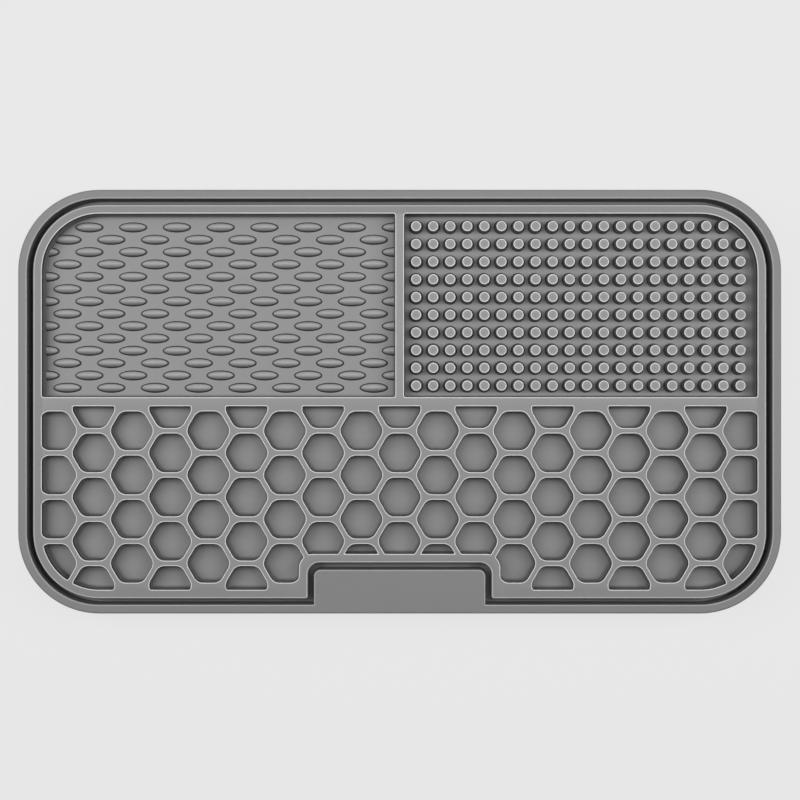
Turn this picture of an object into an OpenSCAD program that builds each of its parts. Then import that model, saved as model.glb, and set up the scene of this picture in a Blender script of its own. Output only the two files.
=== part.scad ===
// Lick mat: a rigid tray on six suction cups, with a silicone mat that lifts out of it.
// Millimetres, +Z up. The origin is on the table, under the middle of the tray.
// +X runs along the long side and the finger tab is on the -Y side.

/* [Tray] */
// Length of the tray along X
tray_length = 229; // [225:1:240]
// Depth of the tray along Y
tray_depth = 127.2; // [125:0.2:135]
// Radius of the tray's outer corners
tray_corner_r = 24.4; // [22:0.2:28]
// Width of the tray's rim, which is also its wall thickness
rim_w = 2.8; // [2.4:0.1:3.4]
// Height of the rim above the table
rim_top_z = 14.5; // [14:0.1:16]
// Thickness of the tray's floor
tray_floor_t = 2; // [1.6:0.1:2.4]
// Height of the tray's lower edge above the table
skirt_z = 1.8; // [1.2:0.1:2.4]

/* [Finger tab] */
// Length of the tab along X
tab_length = 51.6; // [44:0.2:56]
// How far the tab reaches in from the tray's front edge
tab_reach = 13.3; // [12:0.1:14]
// Radius of the tab's inner corners
tab_corner_r = 2.1; // [1:0.1:3]
// Thickness of the tab's top and side walls
tab_wall_t = 2.4; // [2:0.1:2.8]
// Width of the shoulder between the tray's wall and the hollow under the tab
tab_shoulder = 1; // [0.8:0.1:1.2]

/* [Mat] */
// Gap between the tray's wall and the mat
mat_gap = 1.65; // [1.2:0.05:2]
// Gap between the tab's back and the mat
tab_gap = 1.9; // [1.2:0.1:2.2]
// Thickness of the whole mat
mat_t = 6.5; // [6:0.1:7]
// Thickness of the mat under its texture
web_t = 1.3; // [1:0.1:2]
// Width of the plain border round the mat
border_w = 2.85; // [2.4:0.05:3.4]
// Width of the bar along the middle of the mat
long_bar_w = 2.94; // [2.4:0.02:3.4]
// Width of the bar between the two rear zones
short_bar_w = 2.82; // [2.4:0.02:3.4]
// Radius of the inner corners of the notch round the tab
notch_corner_r = 3.4; // [2:0.2:4]

/* [Honeycomb] */
// Width of a cell across its flat sides
cell_flats = 11.25; // [10.5:0.05:11.5]
// Thickness of the wall between two cells
cell_wall = 2; // [1.6:0.05:2.4]
// Rounding of a cell's corners
cell_corner_r = 2; // [1:0.2:2.6]
// Distance of the first row's centre in front of the long bar's middle
cell_first_row = 2.1; // [1.5:0.1:3]

/* [Grains] */
// Length of a grain
grain_length = 8; // [7:0.1:8.6]
// Width of a grain
grain_width = 2.85; // [2.4:0.05:3.1]
// Distance from grain to grain along X
grain_pitch_x = 13.27; // [13:0.01:13.4]
// Distance from row to row
grain_pitch_y = 3.74; // [3.6:0.01:3.8]
// Y of the row nearest the long bar
grain_first_y = 4.2; // [4:0.1:4.6]
// X of the grain that is half under the short bar
grain_last_x = -1.2; // [-1.4:0.1:-1]

/* [Pegs] */
// Diameter of a peg at its top
peg_top_d = 3.3; // [2.8:0.1:3.5]
// Diameter of a peg at its foot
peg_foot_d = 3.8; // [3.6:0.1:4.2]
// Height of a peg
peg_h = 3.3; // [2:0.1:4]
// Distance from peg to peg along X
peg_pitch_x = 5.14; // [5:0.01:5.2]
// Distance from peg to peg along Y
peg_pitch_y = 5.31; // [5.1:0.01:5.35]
// X and Y of the first peg's axis
peg_first = [5.1, 4.9]; // [4.6:0.1:5.4]

/* [Suction cups] */
// Diameter of a cup's lip
cup_d = 21; // [18:0.5:22]
// Diameter of the hole for a cup's neck
neck_hole_d = 5; // [4:0.5:6]
// How much wider the rubber neck is than its hole
neck_squeeze = 0.1; // [0.05:0.05:0.2]
// Diameter of a cup's push-through head
head_d = 9.5; // [8:0.5:10]
// Distance from the tray's middle to the left and right cups
cup_x = 85; // [75:1:90]
// Distance from the tray's middle to the front and rear cups
cup_y = 38; // [30:1:38]

/* [Hidden] */

tray_color = "dimgray";
mat_color = "gray";
cup_color = "lightgray";

round_fn = 96;
peg_fn = 32;
grain_fn = 32;
// Overlap that makes a union or a cut run clean through a face
lap = 0.4;

floor_top_z = rim_top_z - mat_t;
floor_under_z = floor_top_z - tray_floor_t;
web_top_z = floor_top_z + web_t;
tab_back_y = tab_reach - tray_depth / 2;

// Bosses, cups and the recesses that hide their heads
boss_d = 16;
cup_top_z = 2.5;
head_h = 1.6;
head_recess_d = 10.5;
lip_t = 0.6;
lip_w = 1.2;
cup_hub_d = 9;
dish_top_z = 1.3;
cup_columns = [-1, 0, 1];
cup_rows = [-1, 1];

// Offsets of the nested outlines, inward from the tray's outer edge
mat_inset = rim_w + mat_gap;
zone_inset = mat_inset + border_w;
zone_half = [tray_length / 2 - zone_inset, tray_depth / 2 - zone_inset];
zone_corner_r = tray_corner_r - zone_inset;

notch_half = tab_length / 2 + mat_gap;
notch_y = tab_back_y + tab_gap;

// Corner points of an arc about centre c, from angle a to angle b
function arc(c, r, a, b, steps) =
    [for (i = [0:steps]) c + r * [cos(a + (b - a) * i / steps), sin(a + (b - a) * i / steps)]];

// A flat-topped hexagon with rounded corners
corner_steps = 4;
function cell_outline(flats, r) = [
    for (side = [0:5])
        each arc((flats / 2 - r) / cos(30) * [cos(60 * side), sin(60 * side)],
                 r, 60 * side - 30, 60 * side + 30, corner_steps)
];

// True where a point is inside the textured area by at least the margin
function in_zone(x, y, margin) =
    let (dx = abs(x) - (zone_half.x - zone_corner_r), dy = abs(y) - (zone_half.y - zone_corner_r))
    (dx <= 0 || dy <= 0) ? true : norm([dx, dy]) < zone_corner_r - margin;

// A block with the tray's outline moved inward, from height z0 to z1
module nested_block(inset, z0, z1) {
    w = tray_length - 2 * inset;
    d = tray_depth - 2 * inset;
    r = tray_corner_r - inset;
    translate([0, 0, z0]) {
        translate([r - w / 2, -d / 2, 0]) cube([w - 2 * r, d, z1 - z0]);
        translate([-w / 2, r - d / 2, 0]) cube([w, d - 2 * r, z1 - z0]);
        for (sx = [-1, 1], sy = [-1, 1])
            translate([sx * (w / 2 - r), sy * (d / 2 - r), 0])
                cylinder(r = r, h = z1 - z0, $fn = round_fn);
    }
}

// A block at the front edge with two rounded inner corners, its back at y_back
module front_block(half_length, y_back, r, z0, z1) {
    front_y = -tray_depth;
    translate([0, 0, z0])
        linear_extrude(height = z1 - z0)
            polygon(concat(
                [[half_length, front_y]],
                arc([half_length - r, y_back - r], r, 0, 90, 8),
                arc([r - half_length, y_back - r], r, 90, 180, 8),
                [[-half_length, front_y]]
            ));
}

module box_between(low, high) {
    translate(low) cube(high - low);
}

module at_each_cup() {
    for (column = cup_columns, row = cup_rows)
        translate([column * cup_x, row * cup_y, 0]) children();
}

// The raised tab, before the hollow under it is cut
module tab_block() {
    intersection() {
        nested_block(0, floor_under_z, rim_top_z);
        front_block(tab_length / 2, tab_back_y, tab_corner_r, floor_under_z, rim_top_z);
    }
}

module tab_hollow() {
    half = tab_length / 2 - tab_wall_t;
    box_between([-half, rim_w + tab_shoulder - tray_depth / 2, skirt_z - lap],
                [half, tab_back_y - tab_wall_t, rim_top_z - tab_wall_t]);
}

module tray() {
    color(tray_color)
    difference() {
        union() {
            difference() {
                nested_block(0, skirt_z, rim_top_z);
                nested_block(rim_w, floor_top_z, rim_top_z + lap);
                nested_block(rim_w, skirt_z - lap, floor_under_z);
            }
            tab_block();
            at_each_cup()
                translate([0, 0, cup_top_z])
                    cylinder(d = boss_d, h = floor_under_z + lap - cup_top_z, $fn = round_fn);
        }
        tab_hollow();
        at_each_cup() {
            translate([0, 0, cup_top_z - lap])
                cylinder(d = neck_hole_d, h = rim_top_z, $fn = round_fn);
            translate([0, 0, floor_under_z])
                cylinder(d = head_recess_d, h = rim_top_z, $fn = round_fn);
        }
    }
}

// One cup turned about its own axis: hollow dish, neck and push-through head
module suction_cup(column, row) {
    neck_r = (neck_hole_d + neck_squeeze) / 2;
    color(cup_color)
    translate([column * cup_x, row * cup_y, 0])
        rotate_extrude($fn = round_fn)
            polygon([
                [0, dish_top_z],
                [cup_hub_d / 4, dish_top_z],
                [cup_d / 2 - lip_w, 0],
                [cup_d / 2, 0],
                [cup_d / 2, lip_t],
                [cup_hub_d / 2, cup_top_z],
                [neck_r, cup_top_z],
                [neck_r, floor_under_z],
                [head_d / 2, floor_under_z],
                [head_d / 2, floor_under_z + head_h / 2],
                [head_d / 4, floor_under_z + head_h],
                [0, floor_under_z + head_h]
            ]);
}

// Rows of cells in every second column lie half a cell lower
cell_pitch = cell_flats + cell_wall;
cell_columns = floor(zone_half.x / (cell_pitch * cos(30)));
module honeycomb_pits() {
    intersection() {
        difference() {
            nested_block(zone_inset, web_top_z, rim_top_z + lap);
            box_between([-tray_length, -long_bar_w / 2, 0], [tray_length, tray_depth, 2 * rim_top_z]);
            front_block(notch_half + border_w, notch_y + border_w, notch_corner_r + border_w,
                        0, 2 * rim_top_z);
        }
        for (column = [-cell_columns:cell_columns], row = [0:4])
            let (y = -cell_first_row - (row + abs(column) % 2 / 2) * cell_pitch)
                if (y > -zone_half.y)
                    translate([column * cell_pitch * cos(30), y, web_top_z - lap / 2])
                        linear_extrude(height = mat_t)
                            polygon(cell_outline(cell_flats, cell_corner_r));
    }
}

// The open space of a rear zone, on the side of the short bar that side gives
module rear_pocket(side) {
    intersection() {
        nested_block(zone_inset, web_top_z, rim_top_z + lap);
        box_between([side < 0 ? -tray_length : short_bar_w / 2, long_bar_w / 2, 0],
                    [side < 0 ? -short_bar_w / 2 : tray_length, tray_depth, 2 * rim_top_z]);
    }
}

// A grain is half of a long body of revolution, with blunt ends
grain_steps = 6;
grain_end_r = 0.35;
module grain() {
    translate([-grain_length / 2, 0, 0])
        rotate([0, 90, 0])
            rotate_extrude($fn = grain_fn)
                polygon(concat(
                    [[0, 0]],
                    [for (i = [0:grain_steps])
                        let (t = 180 * i / grain_steps)
                        [grain_end_r + (grain_width / 2 - grain_end_r) * sin(t),
                         grain_length * (1 - cos(t)) / 2]],
                    [[0, grain_length]]
                ));
}

grain_rows = 14;
grain_columns = 8;
module grains() {
    intersection() {
        nested_block(zone_inset - lap, floor_top_z + lap, rim_top_z - lap);
        for (row = [0:grain_rows - 1], column = [0:grain_columns])
            let (x = grain_last_x - (column + (row % 2 == 0 ? 0.5 : 0)) * grain_pitch_x,
                 y = grain_first_y + row * grain_pitch_y)
                if (x > -zone_half.x - 1 && in_zone(x, y, 0.5))
                    translate([x, y, web_top_z]) grain();
    }
}

peg_columns = 20;
peg_rows = 10;
module pegs() {
    for (column = [0:peg_columns - 1], row = [0:peg_rows - 1])
        let (x = peg_first.x + column * peg_pitch_x, y = peg_first.y + row * peg_pitch_y)
            if (in_zone(x, y, 1.5))
                translate([x, y, web_top_z - lap])
                    cylinder(d1 = peg_foot_d, d2 = peg_top_d, h = peg_h + lap, $fn = peg_fn);
}

module mat() {
    color(mat_color)
    union() {
        difference() {
            nested_block(mat_inset, floor_top_z, rim_top_z);
            front_block(notch_half, notch_y, notch_corner_r, 0, 2 * rim_top_z);
            rear_pocket(-1);
            rear_pocket(1);
            honeycomb_pits();
        }
        grains();
        pegs();
    }
}

tray();
mat();
suction_cup(-1, -1);  // suction_cup_front_left
suction_cup(0, -1);  // suction_cup_front_middle
suction_cup(1, -1);  // suction_cup_front_right
suction_cup(-1, 1);  // suction_cup_rear_left
suction_cup(0, 1);  // suction_cup_rear_middle
suction_cup(1, 1);  // suction_cup_rear_right
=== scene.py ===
import math

import bpy
import numpy as np
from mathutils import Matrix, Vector
from mathutils.geometry import delaunay_2d_cdt


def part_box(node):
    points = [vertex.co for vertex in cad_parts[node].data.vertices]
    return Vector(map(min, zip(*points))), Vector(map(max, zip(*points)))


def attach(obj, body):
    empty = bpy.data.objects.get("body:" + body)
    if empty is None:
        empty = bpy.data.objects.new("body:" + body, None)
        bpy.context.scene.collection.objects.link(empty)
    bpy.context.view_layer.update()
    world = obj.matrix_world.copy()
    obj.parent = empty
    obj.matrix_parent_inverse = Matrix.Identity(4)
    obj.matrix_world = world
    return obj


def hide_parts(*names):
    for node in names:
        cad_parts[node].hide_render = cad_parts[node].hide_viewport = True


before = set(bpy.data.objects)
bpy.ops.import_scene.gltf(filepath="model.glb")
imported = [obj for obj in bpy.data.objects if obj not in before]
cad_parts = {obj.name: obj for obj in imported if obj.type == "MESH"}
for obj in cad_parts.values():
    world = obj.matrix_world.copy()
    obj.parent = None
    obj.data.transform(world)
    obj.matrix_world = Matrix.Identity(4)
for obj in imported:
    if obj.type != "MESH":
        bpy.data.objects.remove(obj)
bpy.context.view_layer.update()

# Lengths are in millimetres until a mesh is made
MM = 0.001
tray_low, tray_high = (np.array(corner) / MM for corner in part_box("tray"))
mat_low, mat_high = (np.array(corner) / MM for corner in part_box("mat"))

# Tray
SKIRT_Z = tray_low[2]
RIM_Z = tray_high[2]
FLOOR_Z = mat_low[2]
FLOOR_T = 2.0
UNDER_Z = FLOOR_Z - FLOOR_T
RIM_W = 2.8
TRAY_CORNER_R = 24.4
TRAY_DRAFT = 0.5
TAB_HALF = 25.8
TAB_REACH = 13.3
TAB_BACK_Y = TAB_REACH - tray_high[1]
TAB_CORNER_R = 2.1
TAB_WALL_T = 2.4
TAB_SHOULDER = 1.0
HOLLOW_CORNER_R = 1.0
BOSS_R = 8.0
BOSS_END_Z = 2.5
BOSS_DRAFT = 1
HEAD_RECESS_R = 5.25
NECK_HOLE_R = 2.5

# Suction cups
DISH_TOP_Z = 1.3
DISH_TOP_R = 2.2
CUP_LIP_T = 0.6
CUP_LIP_W = 1.2
HUB_R = 4.5
HEAD_R = 4.75
HEAD_EDGE_T = 0.8
HEAD_TOP_R = 2.4

# Mat
BORDER_W = 2.85
MAT_CORNER_R = TRAY_CORNER_R - (tray_high[0] - mat_high[0])
NOTCH_HALF = TAB_HALF + tray_high[0] - mat_high[0] - RIM_W
TAB_GAP = 1.9
NOTCH_Y = TAB_BACK_Y + TAB_GAP
NOTCH_CORNER_R = 3.4
NOTCH_FOOT_R = 0.8
WEB_T = 1.3
WEB_Z = FLOOR_Z + WEB_T
ZONE_HALF = mat_high[:2] - BORDER_W
ZONE_CORNER_R = MAT_CORNER_R - BORDER_W
LONG_BAR_W = 2.94
SHORT_BAR_W = 2.82
POCKET_CORNER_R = 0.5

# Honeycomb
CELL_FLATS = 11.4
CELL_PITCH = 13.25
CELL_CORNER_R = 2.9
CELL_FIRST_Y = -2.1
CELL_COLUMNS = 9
CELL_ROWS = 5
CELL_CLIP_R = 0.1
CELL_NOTCH_R = 4.3
CELL_LEAST_HALF_W = 0.8

# Rice-grain bumps
GRAIN_HALF = np.array([4.08, 1.31])
GRAIN_H = 1.6
GRAIN_LOW_H = 0.1
GRAIN_FOOT_R = 0.24
GRAIN_POINT = 0.05
GRAIN_TAPER = 1.2
GRAIN_LEAN = 0.12
GRAIN_END_GAP = 0.12
# GRAIN_LINE_W is the width of the line of painted shade round a grain's foot
GRAIN_LINE_W = 0.26
GRAIN_SIDES = 36
GRAIN_RINGS = 7
GRAIN_PITCH = np.array([13.27, 3.74])
GRAIN_LAST = np.array([-1.2, 4.2])
GRAIN_COLUMNS = 9
GRAIN_ROWS = 14
GRAIN_REACH = 1.5

# Pegs
PEG_TOP_R = 1.68
PEG_EDGE_R = 0.35
PEG_FOOT_R = 0.2
PEG_H = 3.3
PEG_DRAFT = 2.5
PEG_PITCH = np.array([5.142, 5.336])
PEG_FIRST = np.array([4.96, 4.86])
PEG_COUNT = (20, 10)
PEG_ROOM = 1.5

# Roundings and draft of the mouldings
EDGE_R = 0.3
LIP_W = 0.12
FOOT_R = 0.2
SMALL_R = 0.25
# How far the painted shade round a wall's foot reaches over the floor
FOOT_SHADE_W = 0.5
DRAFT = 2.0
EDGE_STEPS = 4
FOOT_STEPS = 4
CORNER_STEPS = 24
SHARP = 0.02

# Tones of the surface, from painted shade (-1) over plain (0) to painted highlight (1). The values below
# are painted light on lands, floors and tops, and painted shade on the grains' fronts
BAR_PAINTED_LIGHT = 0.11
CELL_LAND_PAINTED_LIGHT = 0.05
CELL_FLOOR_PAINTED_LIGHT = 0.04
GRAIN_TOP_HIGHLIGHT = 0.26
GRAIN_FRONT_SHADE = 0.4
GRAIN_FLOOR_PAINTED_LIGHT = 0.06
PEG_TOP_PAINTED_LIGHT = 0.04

# What painted highlight and painted shade the walls of the pegs and the tray's plain walls have in place
# of the usual tones
PEG_WALL = {"land_painted_light": 0.15, "low_shade": 0.5, "foot_shade": 0.7, "foot_shade_w": 0.15}
PLAIN_WALL = {"edge_highlight": 0, "shade": 0.2, "low_shade": 0.2, "foot_shade": 0}


def rounded(corners, radii, steps=8):
    """A counter-clockwise polygon with rounded corners, as a function of how far it is moved inward. The
    function gives the points and the directions straight out from them."""
    corners = np.array(corners, float)
    side = np.roll(corners, -1, axis=0) - corners
    side /= np.linalg.norm(side, axis=1)[:, None]
    normal = np.stack([side[:, 1], -side[:, 0]], axis=1)

    def corner_arc(i, inset):
        before, after = normal[i - 1], normal[i]
        turn = math.atan2(before[0] * after[1] - before[1] * after[0], before @ after)
        bulge = 1 if turn > 0 else -1
        r = max(radii[i] - bulge * inset, SHARP)
        centre = corners[i] - (before + after) / (1 + before @ after) * (inset + bulge * r)
        angle = math.atan2(before[1], before[0]) + turn * np.linspace(0, 1, steps + 1)
        outs = np.stack([np.cos(angle), np.sin(angle)], axis=1)
        return centre + bulge * r * outs, outs

    def outline(inset):
        arcs = [corner_arc(i, inset) for i in range(len(corners))]
        return tuple(np.concatenate(parts) for parts in zip(*arcs))

    return outline


def rectangle(low, high, radii, steps=8):
    """Corner radii start at the low corner and go counter-clockwise."""
    corners = [(low[0], low[1]), (high[0], low[1]), (high[0], high[1]), (low[0], high[1])]
    return rounded(corners, radii, steps)


def disc(centre, r, sides=28):
    """A circle, as a function of how far it is moved inward."""
    angle = 2 * math.pi * np.arange(sides) / sides
    outs = np.stack([np.cos(angle), np.sin(angle)], axis=1)
    return lambda inset: (np.array(centre) + (r - inset) * outs, outs)


def slope(field, points):
    """Direction in which a distance field grows."""
    h = 1e-3
    grown = [field(points + step) - field(points - step) for step in ((h, 0), (0, h))]
    rise = np.stack(grown, axis=1)
    return rise / np.linalg.norm(rise, axis=1)[:, None]


def level(field, centre, sides=144, reach=9.0):
    """The outline where a distance field is zero, as a function of how far it is moved inward. It is found
    by halving along rays from a point inside it."""
    halvings = 30
    angle = 2 * math.pi * np.arange(sides) / sides
    ray = np.stack([np.cos(angle), np.sin(angle)], axis=1)

    def outline(inset):
        near, far = np.zeros(sides), np.full(sides, reach)
        for _ in range(halvings):
            middle = (near + far) / 2
            inside = field(centre + ray * middle[:, None]) < -inset
            near = np.where(inside, middle, near)
            far = np.where(inside, far, middle)
        points = centre + ray * near[:, None]
        return points, slope(field, points)

    return outline


def held_in(points, field, margin):
    """Points that stick out of a field's inside, grown by a margin, are moved back to its edge."""
    over = np.maximum(field(points) - margin, 0)
    return points - over[:, None] * slope(field, points)


def box_field(centre, half, r):
    """Distance from a rectangle with rounded corners, negative inside."""
    def field(points):
        q = np.abs(points - np.array(centre)) - np.array(half) + r
        return np.linalg.norm(np.maximum(q, 0), axis=1) + np.minimum(q.max(axis=1), 0) - r
    return field


def hexagon_field(centre, half_flats, r):
    """Distance from a flat-topped hexagon with rounded corners, negative inside."""
    apothem = half_flats - r
    tilt = np.array([-math.cos(math.radians(30)), 0.5])

    def field(points):
        p = np.abs(points - centre)
        p = p - 2 * np.minimum(p @ tilt, 0)[:, None] * tilt
        reach = apothem * math.tan(math.radians(30))
        p = p - np.stack([np.clip(p[:, 0], -reach, reach), np.full(len(p), apothem)], axis=1)
        return np.linalg.norm(p, axis=1) * np.sign(p[:, 1]) - r

    return field


def overlap_field(a, b, r):
    """What two fields share, with a small radius where they cross."""
    def field(points):
        da, db = a(points), b(points)
        corner = np.hypot(np.maximum(da + r, 0), np.maximum(db + r, 0))
        return np.minimum(-r, np.maximum(da, db)) + corner
    return field


def edge_arc(top, radius, lean, edge_highlight, shade, land=0.0):
    """A rounded edge. wear is how much paler its start is painted, a painted highlight which fades into
    the flat beside it. land is that flat's painted tone and shade is how dark the edge ends, a painted
    shade."""
    fade_from, fade_over = 0.25, 0.35
    rows = [(-radius - LIP_W, top, 0, 1, land)] if edge_highlight else []
    for step in range(EDGE_STEPS + 1):
        share = step / EDGE_STEPS
        a = math.pi / 2 + share * (lean - math.pi / 2)
        fade = min(max((share - fade_from) / fade_over, 0), 1)
        rows.append((radius * (math.cos(a) - 1), top + radius * (math.sin(a) - 1),
                     math.cos(a), math.sin(a), edge_highlight - (edge_highlight + shade) * fade))
    return rows


def edge_profile(land, floor, edge_r, foot_r, draft=DRAFT, up=1, edge_highlight=1.0, land_painted_light=0.0,
                 shade=1.0, low_shade=0.35, foot_shade=0.25, foot_shade_w=FOOT_SHADE_W):
    """Over a rounded edge, down a wall and round its foot. Each row is how far it is from the edge, its
    height, the normal's two parts and its tone. land_painted_light and wear are the painted light on the
    land and the painted highlight on the edge. shade, low_shade and crease are the painted shade on the
    wall's top, the wall's bottom and its foot, and foot_shade_w is how far the last reaches over the
    floor."""
    dark_to, plain_from, plain_to = 0.12, 0.3, 0.9
    top, low, lean = up * land, up * floor, math.radians(draft)
    rows = edge_arc(top, edge_r, lean, edge_highlight, shade, land_painted_light)
    wall_s, wall_z = rows[-1][:2]
    foot_z = low + foot_r * (1 - math.sin(lean))
    # Painted shade down the wall, darkest just under the edge
    for share, tone in ((dark_to, -shade), (plain_from, -low_shade), (plain_to, -low_shade)):
        depth = share * (wall_z - foot_z)
        rows.append((wall_s + depth * math.tan(lean), wall_z - depth,
                     math.cos(lean), math.sin(lean), tone))
    centre_s = wall_s + (wall_z - foot_z) * math.tan(lean) + foot_r * math.cos(lean)
    for step in range(FOOT_STEPS + 1):
        a = math.pi + lean + step / FOOT_STEPS * (math.pi / 2 - lean)
        rows.append((centre_s + foot_r * math.cos(a), low + foot_r * (1 + math.sin(a)),
                     -math.cos(a), -math.sin(a), -foot_shade))
    if foot_shade:
        rows.append((centre_s + foot_shade_w, low, 0, 1, 0))
    return [(s, up * z, ns, up * nz, tone) for s, z, ns, nz, tone in rows]


def rim_profile(top, bottom, edge_r, low_r, edge_highlight=0.0, shade=0.0):
    """Over a rounded edge, down an upright wall and round a lower edge to the underside. wear and shade
    are the painted highlight and painted shade on the edge.
    """
    rows = edge_arc(top, edge_r, 0, edge_highlight, shade)
    for step in range(EDGE_STEPS + 1):
        a = -math.pi / 2 * step / EDGE_STEPS
        rows.append((low_r * (math.cos(a) - 1), bottom + low_r * (math.sin(a) + 1),
                     math.cos(a), math.sin(a), 0))
    return rows


class Skin:
    """Rings of points, each with its own normal, and the faces that join them."""

    def __init__(self):
        self.points = np.empty((0, 3))
        self.normals = np.empty((0, 3))
        self.tones = np.empty(0)
        self.faces = []

    def add(self, points, normals, tones):
        """Adds points and gives their numbers."""
        first = len(self.points)
        self.points = np.concatenate([self.points, points])
        self.normals = np.concatenate([self.normals, normals])
        self.tones = np.concatenate([self.tones, tones])
        return np.arange(first, first + len(points))

    def ring(self, flat, z, normals, tone=0.0):
        points = np.column_stack([flat, np.full(len(flat), z)])
        return self.add(points, normals, np.full(len(flat), tone))

    def bridge(self, a, b, flip):
        """Joins two rings with as many points."""
        for i in range(len(a)):
            quad = (a[i - 1], b[i - 1], b[i], a[i])
            self.faces.append(quad[::-1] if flip else quad)

    def loft(self, outline, profile, into):
        """Skins a wall along an outline, into a pit or out from a raised shape. Gives its first and last
        rings."""
        rings = []
        for s, z, ns, nz, tone in profile:
            flat, outs = outline(s if into else -s)
            normals = np.column_stack([outs * (-ns if into else ns), np.full(len(flat), nz)])
            rings.append(self.ring(flat, z, normals, tone))
        upright = profile[0][3] > 0
        for a, b in zip(rings, rings[1:]):
            self.bridge(a, b, flip=into == upright)
        return rings[0], rings[-1]

    def fill(self, outer, holes=(), up=True):
        """A flat face between one ring and the rings inside it. Every ring runs counter-clockwise."""
        loops = [outer, *holes]
        index = np.concatenate(loops)
        loop_of = np.repeat(np.arange(len(loops)), [len(loop) for loop in loops])
        flat = [Vector(self.points[i][:2]) for i in index]
        edges, first = [], 0
        for loop in loops:
            count = len(loop)
            edges += [(first + i, first + (i + 1) % count) for i in range(count)]
            first += count
        whole_hull, least_gap = 0, 1e-6
        found = delaunay_2d_cdt(flat, edges, [], whole_hull, least_gap)
        triangles, origin = found[2], found[3]
        crossings = [tuple(point) for point, of_ring in zip(found[0], origin) if len(of_ring) != 1]
        if crossings:
            raise ValueError(f"rings cross at {crossings}")
        made = 0
        for triangle in triangles:
            corners = sorted(origin[i][0] for i in triangle)
            a, b, c = (flat[i] for i in corners)
            turns_left = (b - a).cross(c - a) > 0
            on_one_loop = loop_of[corners[0]] == loop_of[corners[2]]
            if on_one_loop and turns_left != (loop_of[corners[0]] == 0):
                continue
            face = index[corners]
            self.faces.append(face if turns_left == up else face[::-1])
            made += 1
        if made != len(index) - 2 + 2 * len(holes):
            raise ValueError(f"{made} triangles fill {len(index)} points round {len(holes)} holes")

    def cap(self, ring, z, up=True, tone=0.0):
        """A flat or domed end: a fan from the ring's middle."""
        middle = self.points[ring].mean(axis=0)
        middle[2] = z
        tip = self.add([middle], [[0, 0, 1 if up else -1]], [tone])[0]
        for i in range(len(ring)):
            fan = (ring[i - 1], ring[i], tip)
            self.faces.append(fan if up else fan[::-1])

    def make(self, name, material):
        """The piece, in metres. A normal that isn't known is averaged from the faces round its point."""
        mesh = bpy.data.meshes.new(name)
        faces = [tuple(int(i) for i in face) for face in self.faces]
        mesh.from_pydata((self.points * MM).tolist(), [], faces)
        mesh.materials.append(material)
        mesh.polygons.foreach_set("use_smooth", [True] * len(mesh.polygons))
        averaged = np.empty(3 * len(self.points))
        mesh.vertex_normals.foreach_get("vector", averaged)
        normals = np.where(np.isnan(self.normals), averaged.reshape(-1, 3), self.normals)
        mesh.normals_split_custom_set_from_vertices(normals.tolist())
        tone = mesh.attributes.new("tone", "FLOAT", "POINT")
        tone.data.foreach_set("value", self.tones)
        piece = bpy.data.objects.new(name, mesh)
        bpy.context.scene.collection.objects.link(piece)
        return piece


def nested(inset):
    """The tray's outline, moved inward."""
    radii = [TRAY_CORNER_R - inset] * 4
    return rectangle(inset - tray_high[:2], tray_high[:2] - inset, radii, steps=CORNER_STEPS)


def with_tab(half, corner_r, tab_half, tab_y, tab_r, foot_r):
    """A rounded rectangle with a block taken out of the middle of its front side."""
    x, y = half
    corners = [(-x, -y), (-tab_half, -y), (-tab_half, tab_y), (tab_half, tab_y),
               (tab_half, -y), (x, -y), (x, y), (-x, y)]
    radii = [corner_r, foot_r, tab_r, tab_r, foot_r, corner_r, corner_r, corner_r]
    return rounded(corners, radii, steps=CORNER_STEPS)


def cup_centres():
    """Each cup's name and axis."""
    for name in sorted(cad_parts):
        if name.startswith("suction_cup"):
            low, high = (np.array(corner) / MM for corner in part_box(name))
            yield name, (low + high)[:2] / 2


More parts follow.
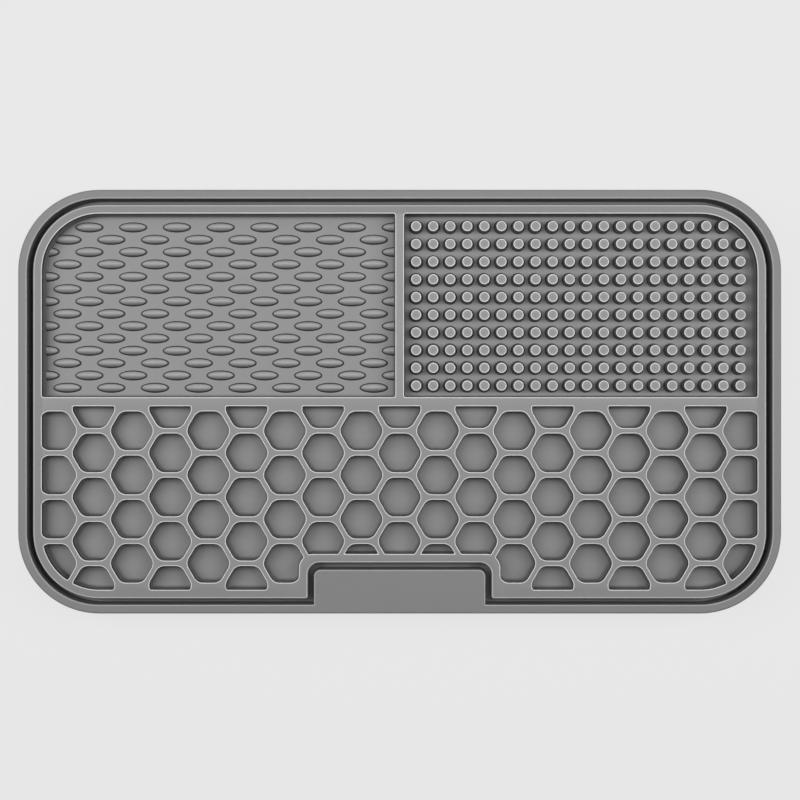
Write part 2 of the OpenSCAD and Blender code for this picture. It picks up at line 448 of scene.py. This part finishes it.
def tray(material):
    """The shell with its pocket, its open underside, the cups' bosses and the hollow under the tab."""
    skin = Skin()
    side = rim_profile(RIM_Z, SKIRT_Z, edge_r=0.6, low_r=0.4)
    rim_top, skirt_bottom = skin.loft(nested(0), side, into=False)
    pocket = with_tab(
        tray_high[:2] - RIM_W, TRAY_CORNER_R - RIM_W, TAB_HALF, TAB_BACK_Y, TAB_CORNER_R, SHARP)
    # The pocket's edge has a painted highlight and its wall painted shade
    pocket_wall = edge_profile(
        RIM_Z, FLOOR_Z, edge_r=0.4, foot_r=0.1, draft=TRAY_DRAFT, edge_highlight=0.5, shade=0.5, foot_shade=0)
    pocket_top, pocket_floor = skin.loft(pocket, pocket_wall, into=True)
    skin.fill(rim_top, [pocket_top])
    # Here and below, the underside's walls have a little painted shade
    skirt_wall = edge_profile(
        SKIRT_Z, UNDER_Z, edge_r=0.4, foot_r=0.3, draft=TRAY_DRAFT, up=-1, **PLAIN_WALL)
    skirt_in, ceiling = skin.loft(nested(RIM_W), skirt_wall, into=True)
    skin.fill(skirt_bottom, [skirt_in], up=False)

    recess_wall = edge_profile(FLOOR_Z, UNDER_Z, SMALL_R, SMALL_R, draft=BOSS_DRAFT, **PLAIN_WALL)
    hole_wall = rim_profile(UNDER_Z, BOSS_END_Z, SMALL_R, SMALL_R)
    boss_wall = edge_profile(
        BOSS_END_Z, UNDER_Z, edge_r=0.4, foot_r=0.5, draft=BOSS_DRAFT, up=-1, **PLAIN_WALL)
    boss_sides = 48
    recess_tops, boss_feet = [], []
    for _, centre in cup_centres():
        recess, hole, boss = (disc(centre, r, boss_sides) for r in (HEAD_RECESS_R, NECK_HOLE_R, BOSS_R))
        recess_top, recess_floor = skin.loft(recess, recess_wall, into=True)
        hole_top, hole_bottom = skin.loft(hole, hole_wall, into=True)
        boss_land, boss_foot = skin.loft(boss, boss_wall, into=False)
        skin.fill(recess_floor, [hole_top])
        skin.fill(boss_land, [hole_bottom], up=False)
        recess_tops.append(recess_top)
        boss_feet.append(boss_foot)
    skin.fill(pocket_floor, recess_tops)

    hollow_half = TAB_HALF - TAB_WALL_T
    hollow = rectangle((-hollow_half, RIM_W + TAB_SHOULDER - tray_high[1]),
                       (hollow_half, TAB_BACK_Y - TAB_WALL_T), [HOLLOW_CORNER_R] * 4)
    hollow_wall = edge_profile(
        UNDER_Z, RIM_Z - TAB_WALL_T, edge_r=0.3, foot_r=0.5, draft=TRAY_DRAFT, up=-1, **PLAIN_WALL)
    hollow_edge, hollow_roof = skin.loft(hollow, hollow_wall, into=True)
    skin.fill(ceiling, [*boss_feet, hollow_edge], up=False)
    skin.fill(hollow_roof, up=False)
    return skin.make("tray_shell", material)


def border_field(points):
    """Distance from the inside of the mat's border, as if the notch weren't there."""
    return box_field((0, 0), ZONE_HALF, ZONE_CORNER_R)(points)


def honeycomb_field(points):
    """Distance from the honeycomb's area, which is inside the border, in front of the long bar and clear
    of the notch."""
    notch_depth = 20.0
    notch_centre = (0, NOTCH_Y + BORDER_W - notch_depth)
    notch = box_field(notch_centre, (NOTCH_HALF + BORDER_W, notch_depth), CELL_NOTCH_R)
    in_front = points[:, 1] + LONG_BAR_W / 2
    return np.maximum(np.maximum(border_field(points), in_front), -notch(points))


def grain_field(points):
    """Distance from what is inside the border and left of the short bar."""
    return np.maximum(border_field(points), points[:, 0] + SHORT_BAR_W / 2)


def middle_of(field, near, reach=7.0, pitch=0.2):
    """The middle of what a field holds round a point, and how far it is from its edge, or None for a mere
    sliver."""
    steps = np.arange(-reach, reach, pitch)
    grid = np.stack(np.meshgrid(steps, steps), axis=2).reshape(-1, 2) + near
    inside = grid[field(grid) < -CELL_LEAST_HALF_W]
    if not len(inside):
        return None
    middle = inside.mean(axis=0)
    return middle, -field(middle[None, :])[0]


def cell_outline(centre):
    """A whole hexagonal pit, flat side to the front."""
    angle = np.radians(np.arange(6) * 60)
    corners = centre + CELL_FLATS / math.sqrt(3) * np.stack([np.cos(angle), np.sin(angle)], axis=1)
    return rounded(corners, [CELL_CORNER_R] * 6)


def cell_centres():
    """The middle of each cell. Every second column lies half a cell further to the front."""
    for column in range(-CELL_COLUMNS, CELL_COLUMNS + 1):
        for row in range(CELL_ROWS):
            x = column * CELL_PITCH * math.cos(math.radians(30))
            y = CELL_FIRST_Y - (row + abs(column) % 2 / 2) * CELL_PITCH
            yield np.array([x, y])


def honeycomb(skin):
    """The pits of the honeycomb, whole and cut off by its edges. Gives their top rings."""
    foot_share = 0.3
    tops = []
    for centre in cell_centres():
        foot_r = FOOT_R
        outline = cell_outline(centre)
        if honeycomb_field(outline(0)[0]).max() > 0:
            cell = hexagon_field(centre, CELL_FLATS / 2, CELL_CORNER_R)
            field = overlap_field(cell, honeycomb_field, CELL_CLIP_R)
            found = middle_of(field, centre)
            if found is None:
                continue
            middle, room = found
            foot_r = min(foot_r, foot_share * room)
            outline = level(field, middle)
        # Painted light on the land between the cells and on their floors, a painted highlight on the edges
        # and painted shade down the walls
        wall = edge_profile(RIM_Z, WEB_Z, EDGE_R, foot_r, land_painted_light=CELL_LAND_PAINTED_LIGHT)
        top, floor = skin.loft(outline, wall, into=True)
        skin.tones[floor] = CELL_FLOOR_PAINTED_LIGHT
        skin.fill(floor)
        tops.append(top)
    return tops


def grain(skin, centre):
    """A rice-grain bump, a little steeper at the back, that stands on the web and ends just short of the
    walls. It has a line of painted shade of even width round its foot, painted shade in front and a
    painted highlight on top."""
    foot_gap, degrees_a_ring = 0.05, 12
    t = 2 * math.pi * np.arange(GRAIN_SIDES) / GRAIN_SIDES
    shape = np.stack([np.cos(t), np.sin(t) * (1 - GRAIN_POINT * np.cos(t) ** 2)], axis=1) * GRAIN_HALF
    along = np.roll(shape, -1, axis=0) - np.roll(shape, 1, axis=0)
    outs = np.stack([along[:, 1], -along[:, 0]], axis=1)
    outs /= np.linalg.norm(outs, axis=1)[:, None]
    unknown = np.full((len(t), 3), np.nan)
    upright = np.tile([0.0, 0.0, 1.0], (len(t), 1))
    foot = held_in(centre + shape + GRAIN_FOOT_R * outs, grain_field, -foot_gap)
    # The foot ring carries the darkest painted shade
    rings = [skin.ring(foot, WEB_Z, upright, -1)]
    for step in range(GRAIN_RINGS):
        a = math.radians(degrees_a_ring * step)
        lean = np.array([0, GRAIN_LEAN * math.sin(a)])
        margin = -GRAIN_END_GAP - GRAIN_END_GAP * (1 - math.cos(a))
        scale = math.cos(a) ** GRAIN_TAPER
        flat = held_in(centre + lean + shape * scale, grain_field, margin)
        z = WEB_Z + GRAIN_LOW_H + (GRAIN_H - GRAIN_LOW_H) * math.sin(a)
        inset = np.linalg.norm(shape, axis=1) * (1 - scale)
        # Painted highlight on top, painted shade in front and a painted dark line at the foot
        front = np.minimum(np.sin(t) * scale, 0)
        tone = np.minimum(GRAIN_TOP_HIGHLIGHT + GRAIN_FRONT_SHADE * front, inset / GRAIN_LINE_W - 1)
        rings.append(skin.ring(flat, z, unknown, tone))
    for outer, inner in zip(rings, rings[1:]):
        skin.bridge(inner, outer, flip=False)
    skin.cap(rings[-1], WEB_Z + GRAIN_H, tone=GRAIN_TOP_HIGHLIGHT)


def pocket_of(skin, low, high, radii):
    """A rear pocket of the mat. Gives its top and floor rings."""
    # Painted light on the bars round the pocket, a painted highlight on its edge and painted shade down
    # its wall
    wall = edge_profile(RIM_Z, WEB_Z, EDGE_R, FOOT_R, land_painted_light=BAR_PAINTED_LIGHT)
    return skin.loft(rectangle(low, high, radii, steps=CORNER_STEPS), wall, into=True)


def grain_zone(skin):
    """The rear left pocket and its bumps. Gives its top ring."""
    low = np.array([-ZONE_HALF[0], LONG_BAR_W / 2])
    high = np.array([-SHORT_BAR_W / 2, ZONE_HALF[1]])
    radii = [POCKET_CORNER_R, POCKET_CORNER_R, POCKET_CORNER_R, ZONE_CORNER_R]
    top, floor = pocket_of(skin, low, high, radii)
    # Painted light on the pocket's floor
    skin.tones[floor] = GRAIN_FLOOR_PAINTED_LIGHT
    skin.fill(floor)
    for row in range(GRAIN_ROWS):
        for column in range(GRAIN_COLUMNS):
            shift = column + (0 if row % 2 else 0.5)
            centre = GRAIN_LAST + np.array([-shift, row]) * GRAIN_PITCH
            if border_field(centre[None, :])[0] < GRAIN_REACH:
                grain(skin, centre)
    return top


def peg_zone(skin):
    """The rear right pocket and its pegs. Gives its top ring."""
    low = np.array([SHORT_BAR_W / 2, LONG_BAR_W / 2])
    radii = [POCKET_CORNER_R, POCKET_CORNER_R, ZONE_CORNER_R, POCKET_CORNER_R]
    top, floor = pocket_of(skin, low, ZONE_HALF, radii)
    skin.fill(floor)
    land_z = WEB_Z + PEG_H
    # A painted highlight round each peg's top edge and painted shade down its wall and round its foot
    side = edge_profile(land_z, WEB_Z, PEG_EDGE_R, PEG_FOOT_R, draft=PEG_DRAFT, **PEG_WALL)
    for column in range(PEG_COUNT[0]):
        for row in range(PEG_COUNT[1]):
            centre = PEG_FIRST + np.array([column, row]) * PEG_PITCH
            if border_field(centre[None, :])[0] < -PEG_ROOM:
                land, _ = skin.loft(disc(centre, PEG_TOP_R), side, into=False)
                # Painted light on the peg's top
                skin.cap(land, land_z, tone=PEG_TOP_PAINTED_LIGHT)
    return top


def mat(material):
    """The whole moulding. The painted light of the bars and of the cells' land ends where the border
    starts.
    """
    skin = Skin()
    shape = with_tab(mat_high[:2], MAT_CORNER_R, NOTCH_HALF, NOTCH_Y, NOTCH_CORNER_R, NOTCH_FOOT_R)
    # The outer edge has a painted highlight that ends in painted shade
    side = rim_profile(RIM_Z, FLOOR_Z, edge_r=0.5, low_r=SMALL_R, edge_highlight=0.45, shade=0.6)
    top, bottom = skin.loft(shape, side, into=False)
    skin.fill(top, [grain_zone(skin), peg_zone(skin), *honeycomb(skin)])
    skin.fill(bottom, up=False)
    # The painted light of the bars and the cells' land is taken off the border
    land = np.isin(skin.tones, (BAR_PAINTED_LIGHT, CELL_LAND_PAINTED_LIGHT))
    on_border = border_field(skin.points[:, :2]) > 0
    skin.tones[land & on_border] = 0
    return skin.make("mat_moulding", material)


def suction_cup(name, centre, material):
    """A cup turned about its axis: dish, neck and push-through head."""
    low, high = (np.array(corner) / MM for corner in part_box(name))
    lip_r = (high[0] - low[0]) / 2
    # Radius, height and rounding of each corner, from the dish's top round to the head's top
    corners_and_radii = [
        (0, DISH_TOP_Z, 0),
        (DISH_TOP_R, DISH_TOP_Z, 2.0),
        (lip_r - CUP_LIP_W, 0, 0.3),
        (lip_r, 0, 0.25),
        (lip_r, CUP_LIP_T, 0.25),
        (HUB_R, BOSS_END_Z, 0.6),
        (NECK_HOLE_R, BOSS_END_Z, 0.1),
        (NECK_HOLE_R, UNDER_Z, 0.1),
        (HEAD_R, UNDER_Z, 0.2),
        (HEAD_R, UNDER_Z + HEAD_EDGE_T, 0.6),
        (HEAD_TOP_R, high[2], 1.0),
        (0, high[2], 0),
    ]
    corners = [(r, z) for r, z, _ in corners_and_radii]
    radii = [rounding for _, _, rounding in corners_and_radii]
    steps = 5
    section, outs = rounded(corners, radii, steps)(0)
    off_axis = slice(steps + 1, -steps - 1)
    cup_sides = 64
    skin = Skin()
    rings = []
    for (r, z), (out_r, out_z) in zip(section[off_axis], outs[off_axis]):
        flat, around = disc(centre, r, cup_sides)(0)
        rings.append(skin.ring(flat, z, np.column_stack([around * out_r, np.full(len(flat), out_z)])))
    for a, b in zip(rings, rings[1:]):
        skin.bridge(a, b, flip=True)
    skin.cap(rings[0], section[off_axis][0][1], up=False)
    skin.cap(rings[-1], high[2])
    return skin.make(name + "_rubber", material)


def moulded(name, colour, ior, roughness, grain_size, grain_depth, highlight_gain, painted_shade_loss):
    """A grey moulding: fine-grained, a little mottled, paler by painted highlight where the tone is above
    zero and darker by painted shade where it is below.
    """
    mottle_size = 14
    mottle_share, speckle_share = 0.10, 0.10
    roughness_range = 0.12
    material = bpy.data.materials.new(name)
    material.use_nodes = True
    nodes, links = material.node_tree.nodes, material.node_tree.links
    shader = nodes["Principled BSDF"]
    shader.inputs["IOR"].default_value = ior

    def node(kind, **values):
        made = nodes.new(kind)
        for key, value in values.items():
            setattr(made, key, value)
        return made

    def maths(operation, a, b):
        made = node("ShaderNodeMath", operation=operation)
        for socket, value in zip(made.inputs, (a, b)):
            if isinstance(value, (int, float)):
                socket.default_value = value
            else:
                links.new(value, socket)
        return made.outputs[0]

    place = node("ShaderNodeTexCoord").outputs["Object"]
    mottle = node("ShaderNodeTexNoise")
    mottle.inputs["Scale"].default_value = 1 / (mottle_size * MM)
    mottle.inputs["Detail"].default_value = 4
    links.new(place, mottle.inputs["Vector"])
    fine = node("ShaderNodeTexNoise")
    fine.inputs["Scale"].default_value = 1 / (grain_size * MM)
    fine.inputs["Detail"].default_value = 2
    links.new(place, fine.inputs["Vector"])

    tone = node("ShaderNodeAttribute", attribute_name="tone").outputs["Fac"]
    # Painted highlight from the tone's positive part and painted shade from its negative part
    painted_highlight = maths("MULTIPLY", maths("MAXIMUM", tone, 0.0), highlight_gain)
    painted_shade = maths("MULTIPLY", maths("MINIMUM", tone, 0.0), painted_shade_loss)
    uneven = maths("MULTIPLY", maths("SUBTRACT", mottle.outputs["Fac"], 0.5), mottle_share)
    speckle = maths("MULTIPLY", maths("SUBTRACT", fine.outputs["Fac"], 0.5), speckle_share)
    change = maths("ADD", maths("ADD", painted_highlight, painted_shade), maths("ADD", uneven, speckle))
    grey = maths("MULTIPLY", maths("ADD", change, 1.0), colour)
    tint = node("ShaderNodeCombineColor")
    for channel in tint.inputs:
        links.new(grey, channel)
    links.new(tint.outputs["Color"], shader.inputs["Base Color"])

    rough_parts = maths("MULTIPLY", mottle.outputs["Fac"], roughness_range)
    rough = maths("ADD", rough_parts, roughness - roughness_range / 2)
    links.new(rough, shader.inputs["Roughness"])
    bump = node("ShaderNodeBump")
    bump.inputs["Strength"].default_value = 0.25
    bump.inputs["Distance"].default_value = grain_depth * MM
    links.new(fine.outputs["Fac"], bump.inputs["Height"])
    links.new(bump.outputs["Normal"], shader.inputs["Normal"])
    return material


def camera():
    """Straight down, at the distance at which the walls lean as they do in the photograph."""
    height = 444.0
    frame_w = 239.85
    aim = (0.1, 0.5)
    data = bpy.data.cameras.new("camera")
    data.sensor_width = 36.0
    data.lens = data.sensor_width * height / frame_w
    data.clip_start = 0.01
    made = bpy.data.objects.new("camera", data)
    made.location = (aim[0] * MM, aim[1] * MM, (RIM_Z + height) * MM)
    bpy.context.scene.collection.objects.link(made)
    bpy.context.scene.camera = made


def lamp(name, share, elevation, azimuth, tall, wide, distance):
    """A soft light aimed just behind the mat, to the right of its middle. share is its part of the light
    on level ground, azimuth is from +X to +Y, tall and wide are the angles in degrees that it fills and
    distance is in metres."""
    aim = Vector((40 * MM, 70 * MM, 0))
    up, round_about = math.radians(elevation), math.radians(azimuth)
    light = bpy.data.lights.new(name, "AREA")
    light.shape = "ELLIPSE"
    light.size, light.size_y = (
        2 * distance * math.tan(math.radians(angle) / 2) for angle in (tall, wide))
    light.energy = share * math.pi ** 2 * distance ** 2 / math.sin(up)
    made = bpy.data.objects.new(name, light)
    made.location = aim + distance * Vector((
        math.cos(up) * math.cos(round_about), math.cos(up) * math.sin(round_about), math.sin(up)))
    made.rotation_euler = (0, math.pi / 2 - up, round_about)
    made.visible_camera = False
    bpy.context.scene.collection.objects.link(made)


def seen_directly(nodes, links):
    """1 for a ray that shows the background, straight or in a reflection, and 0 for one that only carries
    light."""
    path = nodes.new("ShaderNodeLightPath")
    seen = path.outputs["Is Camera Ray"]
    for kind in ("Is Glossy Ray", "Is Transmission Ray"):
        either = nodes.new("ShaderNodeMath")
        either.operation = "MAXIMUM"
        links.new(seen, either.inputs[0])
        links.new(path.outputs[kind], either.inputs[1])
        seen = either.outputs[0]
    return seen


def studio():
    """A pale floor in a dim room that looks pale, with a strong soft light on each side and weak ones
    overhead and at the rear."""
    paleness = 0.81
    room = 0.06
    paper_share = 0.92
    grey = (paleness, paleness, paleness, 1)
    mesh = bpy.data.meshes.new("floor")
    half = 3000 * MM
    corners = [(-half, -half, 0), (half, -half, 0), (half, half, 0), (-half, half, 0)]
    mesh.from_pydata(corners, [], [(0, 1, 2, 3)])
    pale = bpy.data.materials.new("pale_floor")
    pale.use_nodes = True
    nodes, links = pale.node_tree.nodes, pale.node_tree.links
    shader = nodes["Principled BSDF"]
    shader.inputs["Base Color"].default_value = grey
    shader.inputs["Roughness"].default_value = 0.9
    shader.inputs["Specular IOR Level"].default_value = 0.1
    paper = nodes.new("ShaderNodeEmission")
    paper.inputs["Color"].default_value = grey
    thinned = nodes.new("ShaderNodeMath")
    thinned.operation = "MULTIPLY"
    thinned.inputs[1].default_value = paper_share
    mix = nodes.new("ShaderNodeMixShader")
    links.new(seen_directly(nodes, links), thinned.inputs[0])
    links.new(thinned.outputs[0], mix.inputs[0])
    links.new(shader.outputs[0], mix.inputs[1])
    links.new(paper.outputs[0], mix.inputs[2])
    links.new(mix.outputs[0], nodes["Material Output"].inputs["Surface"])
    mesh.materials.append(pale)
    floor = bpy.data.objects.new("floor", mesh)
    bpy.context.scene.collection.objects.link(floor)

    lamp("left", share=0.44, elevation=54, azimuth=180, tall=44, wide=24, distance=0.55)
    lamp("right", share=0.44, elevation=54, azimuth=0, tall=44, wide=24, distance=0.55)
    lamp("overhead", share=0.14, elevation=90, azimuth=90, tall=26, wide=26, distance=0.35)
    lamp("rear", share=0.06, elevation=58, azimuth=90, tall=24, wide=24, distance=0.35)
    world = bpy.data.worlds.new("room")
    world.use_nodes = True
    nodes, links = world.node_tree.nodes, world.node_tree.links
    strength = nodes.new("ShaderNodeMath")
    strength.operation = "MULTIPLY_ADD"
    links.new(seen_directly(nodes, links), strength.inputs[0])
    strength.inputs[1].default_value = paleness - room
    strength.inputs[2].default_value = room
    nodes["Background"].inputs["Color"].default_value = (1, 1, 1, 1)
    links.new(strength.outputs[0], nodes["Background"].inputs["Strength"])
    bpy.context.scene.world = world


def dress():
    """Makes each piece, puts it on its body and hides the solid that it stands for."""
    plastic = moulded("tray_plastic", colour=0.19, ior=1.46, roughness=0.55, grain_size=0.35,
                      grain_depth=0.02, highlight_gain=1.6, painted_shade_loss=0.9)
    silicone = moulded("mat_silicone", colour=0.214, ior=1.41, roughness=0.55, grain_size=0.5,
                       grain_depth=0.02, highlight_gain=2.2, painted_shade_loss=0.95)
    rubber = moulded("cup_silicone", colour=0.36, ior=1.41, roughness=0.35, grain_size=0.6,
                     grain_depth=0.01, highlight_gain=0.1, painted_shade_loss=0.1)
    for piece, body, node, finish in (
        (tray(plastic), "tray", "tray", "tray_plastic"),
        (mat(silicone), "mat", "mat", "mat_silicone"),
    ):
        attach(piece, body)
        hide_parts(node)
    for name, centre in cup_centres():
        piece = suction_cup(name, centre, rubber)
        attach(piece, "tray")
        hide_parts(name)


bpy.context.scene.view_settings.view_transform = "Standard"
camera()
studio()
dress()
